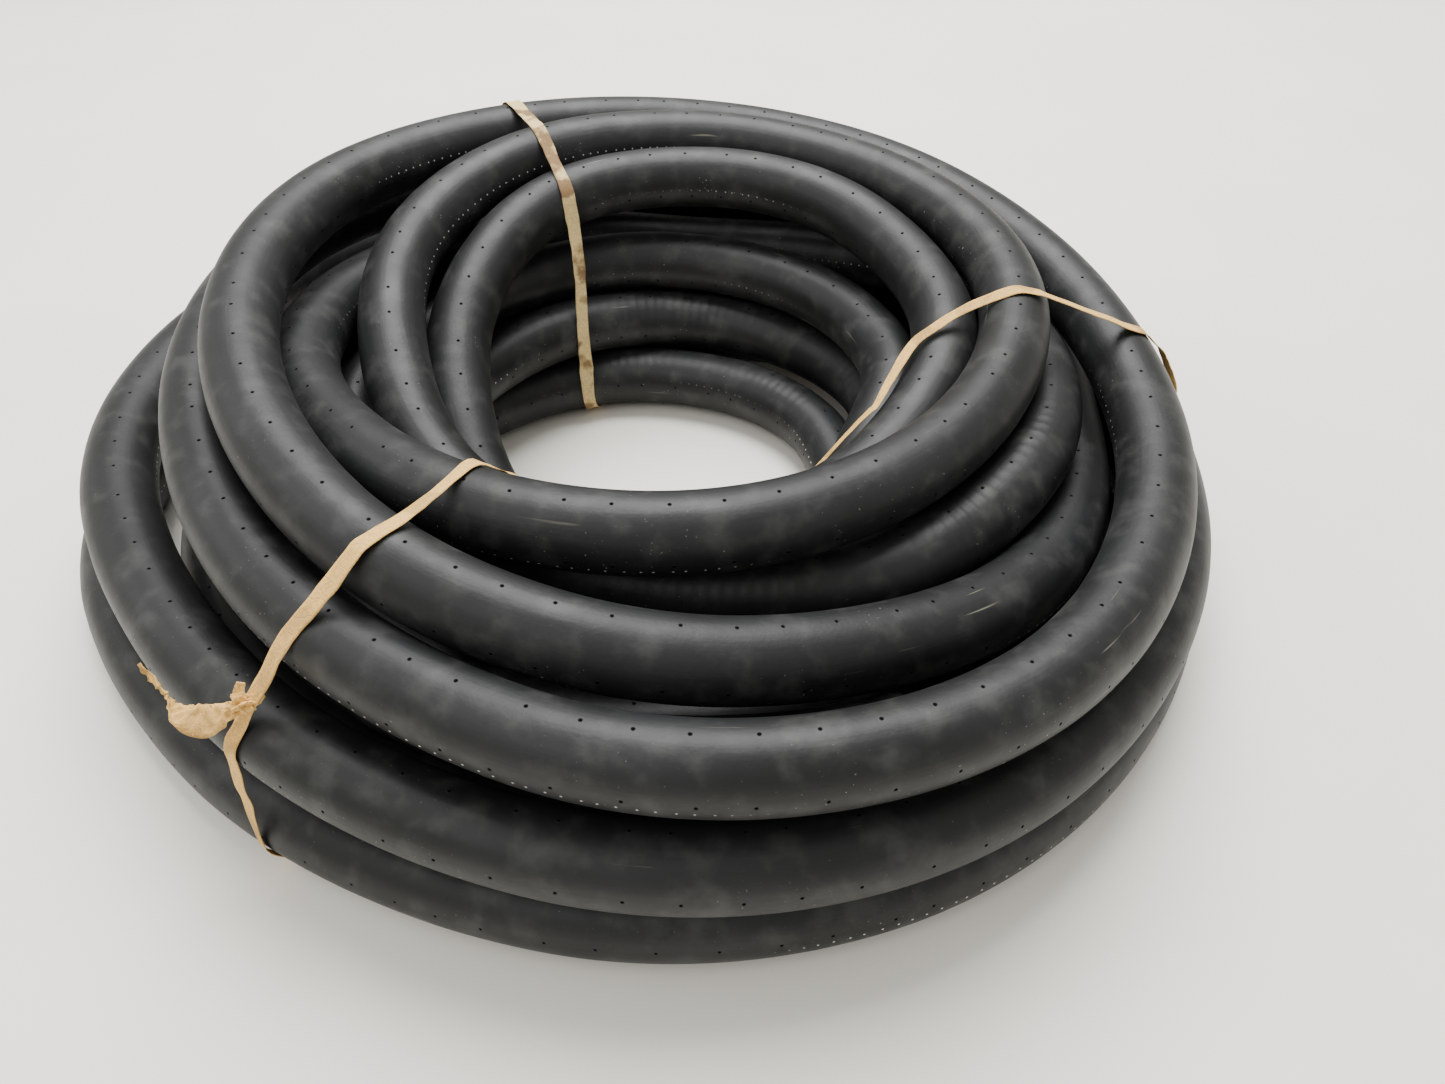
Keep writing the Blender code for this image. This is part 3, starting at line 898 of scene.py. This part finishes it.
@dataclass
class PaperTie:
    """A taut strip of kraft paper around the turns on one side of the coil.

    The guide gives the strip's course in plan, in pitches from the winding's axis.
    stand_off and pinch are (reach, height) spots where it stands off the hose and
    where it is folded narrow.
    """

    node: str
    slot: str
    guide: tuple
    finish: KraftFinish
    seed: int
    width: float = 5.2 * MM
    thickness: float = 0.3 * MM
    clearance: float = 0.3 * MM
    stand_off: tuple = ()
    spread: float = 0.12
    pinch: tuple = ()

    def spots(self, hose: Hose) -> np.ndarray:
        """Place the guide's points.

        Args:
            hose: The hose the strip goes round.

        Returns:
            Their places in plan, in metres.
        """
        return np.array(self.guide) * hose.winding.pitch - hose.centre[:2]

    def plane(self, hose: Hose) -> tuple[np.ndarray, np.ndarray, np.ndarray]:
        """Place the strip's upright plane.

        Args:
            hose: The hose it goes round.

        Returns:
            A point on it, its direction and the direction across it, in plan.
        """
        spots = self.spots(hose)
        along = (spots[-1] - spots[0]) / np.linalg.norm(spots[-1] - spots[0])
        return spots[0], along, np.array([-along[1], along[0]])

    def outline(self, hose: Hose) -> tuple[np.ndarray, np.ndarray]:
        """Find the taut outline of the strip.

        Args:
            hose: The hose it goes round.

        Returns:
            (reach, height) round the outline, and the outward direction at each.
        """
        origin, along, across = self.plane(hose)
        skin = hose.surface()
        plan = skin[:, :2] - origin
        reach = plan @ along
        drift = plan @ across - self.drift(hose, reach)
        near = (np.abs(drift) < 0.5 * self.width + 1.0 * MM) & (reach > -2 * hose.winding.pitch)
        corners = convex_outline(np.stack([reach[near], skin[near, 2]], 1))
        shape = resample(corners, 1.6 * MM)
        edge = np.roll(shape, -1, 0) - np.roll(shape, 1, 0)
        edge /= np.linalg.norm(edge, axis=1, keepdims=True)
        normal = np.stack([edge[:, 1], -edge[:, 0]], 1)
        return shape + (self.clearance + 0.5 * self.thickness) * normal, normal

    def drift(self, hose: Hose, reach: np.ndarray) -> np.ndarray:
        """Say how far the strip strays sideways from its plane.

        Args:
            hose: The hose it goes round.
            reach: Distance along the plane.

        Returns:
            Metres sideways.
        """
        origin, along, across = self.plane(hose)
        spots = self.spots(hose) - origin
        knots = spots @ along
        return interpolate(knots, spots @ across, np.clip(reach, knots[0], knots[-1]))

    def build(self, hose: Hose) -> bpy.types.Object:
        """Build the strip around the hose.

        Args:
            hose: The hose it goes round.

        Returns:
            The strip.
        """
        origin, along, across = self.plane(hose)
        shape, normal = self.outline(hose)
        low = shape[:, 1] < 4 * MM
        at = np.arange(len(shape)) * 1.0
        slack = 0.35 * MM * (1 + wander(at, 6, self.seed + 3)) * np.where(low, 0.0, 1.0)
        slack = smoothed(smoothed(slack[:, None], (0.25, 0.5, 0.25)), (0.25, 0.5, 0.25))[:, 0]
        roll = 0.12 * wander(at, 12, self.seed + 2) * np.where(low, 0.0, 1.0)
        if self.stand_off:
            spot = int(np.argmin(np.linalg.norm(shape - np.array(self.stand_off), axis=1)))
            bow = np.exp(-((at - spot) / 11.0) ** 4)
            slack = slack + 2.6 * MM * bow
        shape = shape + normal * slack[:, None]
        plan = origin + along * shape[:, :1] + across * self.drift(hose, shape[:, 0])[:, None]
        path = np.column_stack([plan, shape[:, 1]])
        out = np.column_stack([along * normal[:, :1], normal[:, 1]])
        course = np.roll(path, -1, 0) - np.roll(path, 1, 0)
        side = np.cross(out, course)
        side /= np.linalg.norm(side, axis=1, keepdims=True)
        side *= np.sign(side @ np.append(across, 0.0))[:, None]
        turned = side * np.cos(roll)[:, None] + out * np.sin(roll)[:, None]
        facing = out * np.cos(roll)[:, None] - side * np.sin(roll)[:, None]
        ribbon = Ribbon("kraft_" + self.node, self.width, self.thickness, self.finish, self.seed)
        ease = np.clip(np.minimum(at, at[-1] - at) / 8, 0, 1)
        share = 1 + self.spread * wander(at, 17, self.seed + 8) * ease
        if self.pinch:
            spot = int(np.argmin(np.linalg.norm(shape - np.array(self.pinch), axis=1)))
            share = share * (1 - 0.6 * np.exp(-((at - spot) / 24.0) ** 4))
        strip = ribbon.build(path, facing, turned, True, share)
        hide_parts(self.node)
        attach(strip, "root")
        around = np.linalg.norm(np.diff(path, axis=0), axis=1).sum()
        LOG.info("%s: %.0f mm round", self.node, around / MM)
        return strip


@dataclass
class PaperKnot:
    """The front strip's tightened knot with its crumpled ends."""

    tie: PaperTie
    spot: tuple = (144 * MM, 83 * MM)
    size: tuple = (6.4 * MM, 4.6 * MM, 5.2 * MM)

    def centre(self, hose: Hose) -> np.ndarray:
        """Find the knot's middle on the strip.

        Args:
            hose: The hose the strip goes round.

        Returns:
            A point in metres.
        """
        origin, along, across = self.tie.plane(hose)
        shape, normal = self.tie.outline(hose)
        near = int(np.argmin(np.linalg.norm(shape - np.array(self.spot), axis=1)))
        reach, height = shape[near] + 2.6 * MM * normal[near]
        drift = float(self.tie.drift(hose, np.array([reach]))[0])
        return np.append(origin + along * reach + across * drift, height)

    def lump(self, centre: np.ndarray) -> bpy.types.Object:
        """Build the crushed middle of the knot.

        Args:
            centre: Its place.

        Returns:
            The lump.
        """
        rows, sides = 22, 34
        polar, turn = np.meshgrid(np.linspace(0.03, math.pi - 0.03, rows),
                                  np.arange(sides) * (2 * math.pi / sides), indexing="ij")
        unit = np.stack([np.sin(polar) * np.cos(turn), np.sin(polar) * np.sin(turn), np.cos(polar)], -1)
        bulge = np.ones(polar.shape)
        generator = np.random.default_rng(5)
        for _ in range(15):
            aim = generator.normal(size=3)
            aim /= np.linalg.norm(aim)
            wave = unit @ aim * generator.uniform(2.5, 6) + generator.uniform(0, 3)
            bulge -= 0.11 * np.abs(np.sin(wave))
        points = centre + unit * (bulge + 0.62)[..., None] * np.array(self.size)
        i, j = np.meshgrid(np.arange(rows - 1), np.arange(sides), indexing="ij")
        k = (j + 1) % sides
        quads = np.stack([i * sides + j, (i + 1) * sides + j, (i + 1) * sides + k, i * sides + k], -1)
        caps = []
        for base, flip in ((0, False), ((rows - 1) * sides, True)):
            for n in range(0, sides // 2 - 1):
                quad = [base + n, base + n + 1, base + sides - 2 - n, base + sides - 1 - n]
                caps.append(quad[::-1] if flip else quad)
        lump = mesh_object("kraft_knot", points.reshape(-1, 3),
                           np.concatenate([quads.reshape(-1, 4), np.array(caps)]), False)
        lump.data.materials.append(self.tie.finish.make())
        return lump

    def tail(self, name: str, centre: np.ndarray, marks: tuple, seed: int,
             crumple: float) -> bpy.types.Object:
        """Build one loose end of the knot.

        Args:
            name: The piece's name.
            centre: The knot's middle.
            marks: For each mark: offset from the knot and width in mm, and roll in radians.
            seed: Picks its creases.
            crumple: Depth of its creases, metres.

        Returns:
            The tail.
        """
        marks = np.array(marks, float)
        at = np.linspace(0, len(marks) - 1, 9 * (len(marks) - 1) + 1)
        knots = np.arange(len(marks)) * 1.0
        read = [interpolate(knots, marks[:, n], at) for n in range(5)]
        path = centre + np.stack(read[:3], 1) * MM
        tangent = np.gradient(path, axis=0)
        tangent /= np.linalg.norm(tangent, axis=1, keepdims=True)
        out = np.array([-0.15, -0.62, 0.77])
        side = np.cross(out, tangent)
        side /= np.linalg.norm(side, axis=1, keepdims=True)
        out = np.cross(tangent, side)
        roll = read[4][:, None]
        turned = side * np.cos(roll) + out * np.sin(roll)
        facing = out * np.cos(roll) - side * np.sin(roll)
        ribbon = Ribbon(name, MM, 0.25 * MM, self.tie.finish, seed, crumple)
        return ribbon.build(path, facing, turned, False, np.maximum(read[3], 0.6))

    def build(self, hose: Hose) -> None:
        """Build the knot and its three ends.

        Args:
            hose: The hose the strip goes round.
        """
        centre = self.centre(hose)
        flap = ((0, 0, 0, 4.5, 0.0), (-5, -1.6, -1.6, 6.5, 0.1), (-11.5, -3.6, -3.0, 10.5, 0.2),
                (-17.5, -2.6, -1.6, 9.0, 0.5), (-21.5, 0.6, 0.2, 5.5, 1.5), (-24.5, 3.4, 3.2, 2.4, 2.4),
                (-28, 6.6, 6.8, 2.0, 2.7), (-31.5, 9.8, 10.2, 1.6, 2.9))
        nub = ((0, 0, 1, 4.0, 0.0), (-0.6, 2.2, 3.4, 3.4, 0.3), (0.2, 4.4, 5.6, 2.6, 0.7))
        tip = ((0, 0, 0, 5.0, 0.0), (3.4, 0.6, 0.9, 4.6, 0.2), (7.2, 1.6, 2.0, 1.0, 0.4))
        lump = self.lump(centre)
        tails = [self.tail("kraft_knot_flap", centre, flap, 83, 0.9 * MM),
                 self.tail("kraft_knot_nub", centre, nub, 91, 0.3 * MM),
                 self.tail("kraft_knot_tip", centre, tip, 97, 0.3 * MM)]
        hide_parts("paper_tie_front_knot")
        for piece in [lump] + tails:
            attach(piece, "root")
        LOG.info("knot with %d loose ends", len(tails))


class SoftLight(Enum):
    """Where each soft light stands: place, size and strength."""

    KEY = ((0.1, 0.8, 1.6), 1.4, 74.0)
    FRONT = ((-0.9, -0.9, 1.6), 1.4, 9.0)
    LEFT = ((-1.6, 0.3, 1.3), 1.2, 9.0)


@dataclass(frozen=True)
class Studio:
    """Camera, lights and the table."""

    focal_px: float = 1034.5
    width_px: float = 1445.0
    pitch_deg: float = 45.107
    roll_deg: float = -2.62
    stand: tuple = (0.301, -12.661, 11.774)

    def camera(self, hose: Hose) -> None:
        """Set the camera up in front of the coil, looking down at it.

        Args:
            hose: The hose, whose winding places the camera.
        """
        data = bpy.data.cameras.new("camera")
        data.sensor_width = 36.0
        data.lens = 36.0 * self.focal_px / self.width_px
        data.clip_start = 0.01
        data.dof.use_dof = False
        camera = bpy.data.objects.new("camera", data)
        bpy.context.scene.collection.objects.link(camera)
        pitch, roll = math.radians(self.pitch_deg), math.radians(self.roll_deg)
        ahead = Vector((0, math.cos(pitch), -math.sin(pitch)))
        level = Vector((1, 0, 0))
        above = level.cross(ahead)
        right = level * math.cos(roll) + above * math.sin(roll)
        up = above * math.cos(roll) - level * math.sin(roll)
        turn = Matrix((right, up, -ahead)).transposed().to_4x4()
        place = Vector(self.stand) * hose.winding.pitch - Vector(hose.centre)
        place.z += hose.winding.height_offset()
        camera.matrix_world = Matrix.Translation(place) @ turn
        bpy.context.scene.camera = camera

    def light(self) -> None:
        """Add the soft lights and an even surround."""
        for spot in SoftLight:
            place, size, power = spot.value
            data = bpy.data.lights.new(spot.name.lower(), "AREA")
            data.shape = "DISK"
            data.size = size
            data.energy = power
            lamp = bpy.data.objects.new(spot.name.lower(), data)
            bpy.context.scene.collection.objects.link(lamp)
            lamp.location = place
            lamp.rotation_euler = (-Vector(place)).to_track_quat("-Z", "Y").to_euler()
        world = bpy.data.worlds.new("studio")
        world.use_nodes = True
        world.node_tree.nodes["Background"].inputs[0].default_value = linear("FBF9F4")
        world.node_tree.nodes["Background"].inputs[1].default_value = 0.80
        bpy.context.scene.world = world

    def table(self) -> None:
        """Add the table top that the coil lies on."""
        corners = np.array([(-6, -6, 0), (6, -6, 0), (6, 6, 0), (-6, 6, 0)], float)
        top = mesh_object("table_top", corners, np.array([[0, 1, 2, 3]]), False)
        top.data.materials.append(TableFinish().make())


def main() -> None:
    """Build the whole scene."""
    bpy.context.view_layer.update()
    studio = Studio()
    hose = Hose(Winding())
    studio.camera(hose)
    hose.build()
    tan = linear("EFC06E")
    pale = linear("E6CB8E")
    rear = ((-1.98, 2.4), (-1.92, 3.2), (-2.25, 4.2), (-3.98, 7.66))
    right = ((2.45, -1.5), (2.8, -0.95), (3.15, -0.5), (3.6, -0.28), (6.43, -0.12), (8.11, 0.52))
    front = ((-1.83, -1.98), (-3.32, -4.83), (-5.34, -6.19))
    ties = (
        PaperTie("paper_tie_rear", "paper_rear", rear,
                 KraftFinish("stained_kraft_paper", pale, 0.85), 21, width=6.2 * MM),
        PaperTie("paper_tie_right", "paper_right", right,
                 KraftFinish("tan_kraft_paper", tan, 0.4), 41,
                 stand_off=(139 * MM, 65 * MM), pinch=(-20 * MM, 75 * MM)),
        PaperTie("paper_tie_front", "paper_front", front,
                 KraftFinish("creased_kraft_paper", tan, 0.3), 61, spread=0.28),
    )
    for tie in ties:
        tie.build(hose)
    PaperKnot(ties[2]).build(hose)
    studio.light()
    studio.table()


if __name__ == "__main__":
    main()
